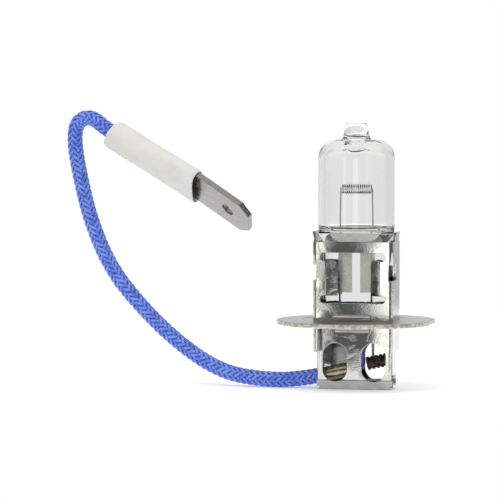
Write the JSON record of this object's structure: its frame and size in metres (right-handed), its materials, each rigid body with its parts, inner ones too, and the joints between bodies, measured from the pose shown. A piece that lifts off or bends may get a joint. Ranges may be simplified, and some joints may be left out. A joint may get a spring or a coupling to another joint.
{
  "type": "halogen headlight bulb",
  "caption": "Halogen headlight bulb: quartz capsule in a steel holder with a round prefocus flange, and a blue braided lead with a sleeved push-on blade.",
  "frame": {"origin": "centre of the flange's reference face, on the bulb's axis", "axes": "+Z along the bulb's axis towards the glass tip, -Y towards the front window, +X towards the flange's index flat; the lead leaves towards -X"},
  "size_m": [0.0522, 0.022, 0.0383],
  "materials": {
    "quartz": "clear fused quartz, polished, faintly streaked",
    "tungsten": "drawn tungsten wire, dark grey, satin",
    "molybdenum": "molybdenum foil and wire, grey, satin",
    "plated_steel": "bright nickel-plated sheet steel, pressed, lightly marked",
    "brushed_steel": "nickel-plated sheet steel with a brushed face",
    "browned_steel": "heat-browned steel, ribbed",
    "nickel_crimp": "nickel-plated brass, warm tint",
    "blue_sleeving": "woven glass-fibre sleeving, blue",
    "copper": "bare stranded copper",
    "silicone": "silicone rubber insulation",
    "blue_braid": "tight woven glass-fibre braid, blue, slight sheen",
    "white_sleeving": "soft white insulating sleeve, matt",
    "terminal_plate": "tinned brass blade, satin, sheared edges"
  },
  "bodies": {
    "bulb": {"quartz_envelope": "quartz", "filament_coil": "tungsten", "filament_leg_live": "tungsten", "filament_leg_ground": "tungsten", "seal_foil_live": "molybdenum", "seal_foil_ground": "molybdenum", "lead_wire_live": "molybdenum", "lead_wire_ground": "molybdenum", "outer_sleeve": "plated_steel", "prefocus_flange": "brushed_steel", "inner_holder": "plated_steel", "ground_ferrule": "browned_steel", "ground_strap": "browned_steel", "live_crimp": "nickel_crimp", "live_lead_insulator": "blue_sleeving", "lead_conductor": "copper", "lead_insulation": "silicone", "lead_braid": "blue_braid", "blade_terminal": "terminal_plate"},
    "sleeving": {"terminal_sleeve": "white_sleeving"}
  },
  "joints": [
    {"name": "sleeve_slide", "type": "slide", "parent": "bulb", "child": "sleeving", "axis": [-0.827, 0.211, 0.521], "range_m": [0, 0.0012]}
  ]
}
